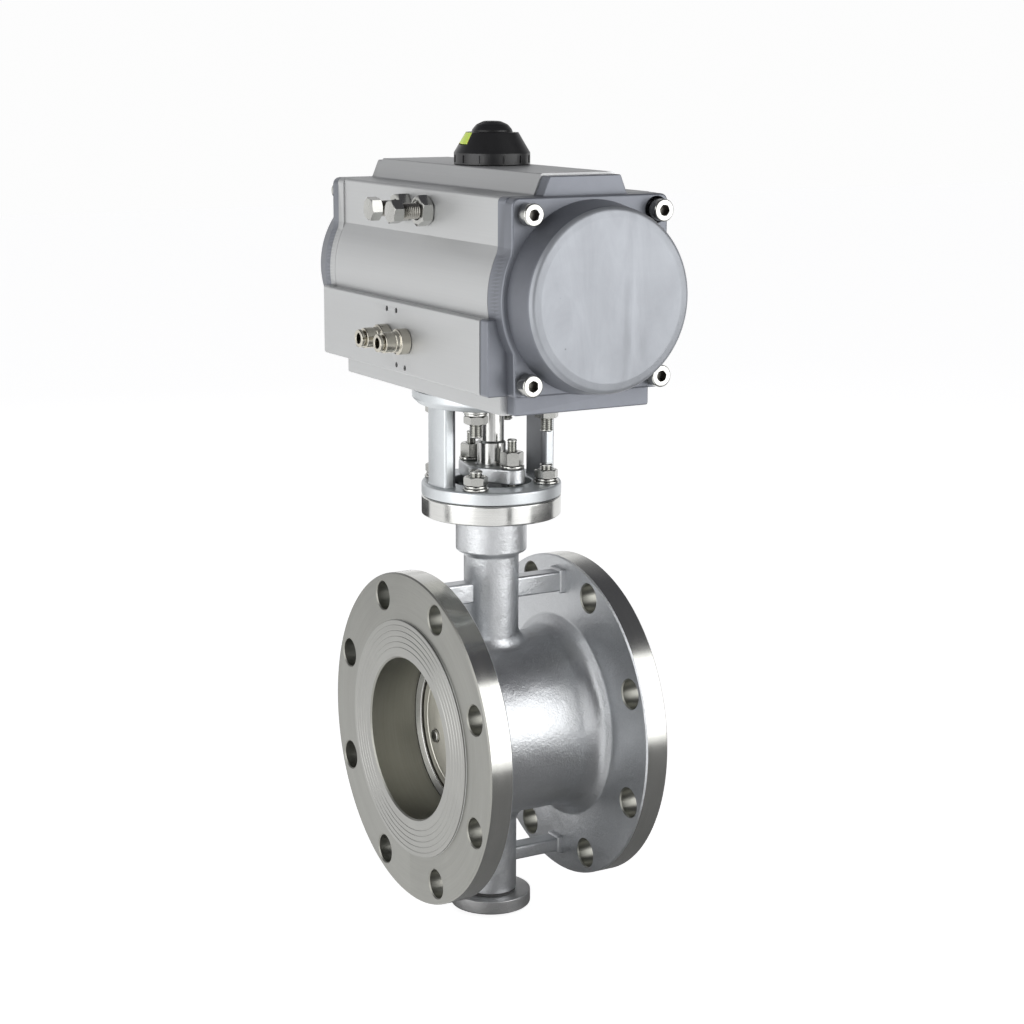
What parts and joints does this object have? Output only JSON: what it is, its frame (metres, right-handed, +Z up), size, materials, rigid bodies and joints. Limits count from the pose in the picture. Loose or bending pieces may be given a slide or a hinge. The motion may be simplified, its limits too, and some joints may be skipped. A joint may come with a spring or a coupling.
{
  "type": "pneumatic actuated butterfly valve",
  "caption": "Double-flanged eccentric butterfly valve with a stem gland, an open yoke and a double-acting rack-and-pinion air actuator.",
  "frame": {"origin": "where the stem's axis crosses the pipe's axis", "axes": "+X along the pipe from the inlet face to the outlet face, +Y along the actuator's cylinder, +Z up the stem; the valve is closed"},
  "size_m": [0.1498, 0.274, 0.4967],
  "materials": {
    "cast_stainless": "bead blasted casting",
    "machined_stainless": "turned",
    "fastener": "bright stainless",
    "yoke_steel": "pale investment casting",
    "bronze": "turned",
    "graphite": "matt",
    "seal_polymer": "filled PTFE",
    "body_aluminium": "grey hard anodised extrusion",
    "cap_paint": "blue-grey powder coat on die-cast aluminium",
    "piston_aluminium": "plain die-cast",
    "nickel_brass": "nickel plated",
    "black_plastic": "satin moulding",
    "yellow_plastic": "yellow-green moulding"
  },
  "bodies": {
    "housing": {"valve_body": "cast_stainless", "seat_ring": "machined_stainless", "upper_bush": "bronze", "lower_bush": "bronze", "bottom_cover": "machined_stainless", "bottom_gasket": "graphite", "packing": "graphite", "gland_follower": "cast_stainless", "gland_stud_1": "fastener", "gland_stud_2": "fastener", "gland_nut_1": "fastener", "gland_nut_2": "fastener", "yoke": "yoke_steel", "valve_stud_1": "fastener", "valve_stud_2": "fastener", "valve_stud_3": "fastener", "valve_stud_4": "fastener", "actuator_stud_1": "fastener", "actuator_stud_2": "fastener", "actuator_stud_3": "fastener", "actuator_stud_4": "fastener", "actuator_body": "body_aluminium", "front_cap": "cap_paint", "rear_cap": "cap_paint", "front_cap_screw_1": "fastener", "front_cap_screw_2": "fastener", "front_cap_screw_3": "fastener", "front_cap_screw_4": "fastener", "rear_cap_screw_1": "fastener", "rear_cap_screw_2": "fastener", "rear_cap_screw_3": "fastener", "rear_cap_screw_4": "fastener", "travel_stop_screw_1": "fastener", "travel_stop_screw_2": "fastener", "travel_stop_nut_1": "fastener", "travel_stop_nut_2": "fastener", "port_fitting_1": "nickel_brass", "port_fitting_2": "nickel_brass", "pinion_bush_bottom": "black_plastic", "pinion_bush_top": "black_plastic"},
    "rotor": {"stem": "machined_stainless", "disc": "cast_stainless", "upper_disc_pin": "machined_stainless", "lower_disc_pin": "machined_stainless", "disc_seal_ring": "seal_polymer", "seal_retainer": "machined_stainless", "retainer_screw_1": "fastener", "retainer_screw_2": "fastener", "retainer_screw_3": "fastener", "retainer_screw_4": "fastener", "pinion": "machined_stainless", "stop_cam": "machined_stainless", "indicator_cap": "black_plastic", "indicator_insert_1": "yellow_plastic", "indicator_insert_2": "yellow_plastic"},
    "front_piston": {"front_piston": "piston_aluminium"},
    "rear_piston": {"rear_piston": "piston_aluminium"},
    "collar_1": {"release_collar_1": "nickel_brass"},
    "collar_2": {"release_collar_2": "nickel_brass"}
  },
  "joints": [
    {"name": "stem_turn", "type": "hinge", "parent": "housing", "child": "rotor", "pos_m": [0, 0, 0], "axis": [0, 0, 1], "range_deg": [0, 90]},
    {"name": "rear_piston_slide", "type": "slide", "parent": "housing", "child": "rear_piston", "axis": [0, 1, 0], "range_m": [0, 0.0285]},
    {"name": "front_piston_slide", "type": "slide", "parent": "housing", "child": "front_piston", "axis": [0, -1, 0], "range_m": [0, 0.0285]},
    {"name": "collar_1_press", "type": "slide", "parent": "housing", "child": "collar_1", "axis": [1, 0, 0], "range_m": [0, 0.0015], "stiffness_N_per_m": 400},
    {"name": "collar_2_press", "type": "slide", "parent": "housing", "child": "collar_2", "axis": [1, 0, 0], "range_m": [0, 0.0015], "stiffness_N_per_m": 400}
  ],
  "couplings": [
    {"joint": "rear_piston_slide", "follows": "stem_turn", "m_per_rad": 0.018},
    {"joint": "front_piston_slide", "follows": "stem_turn", "m_per_rad": 0.018}
  ]
}
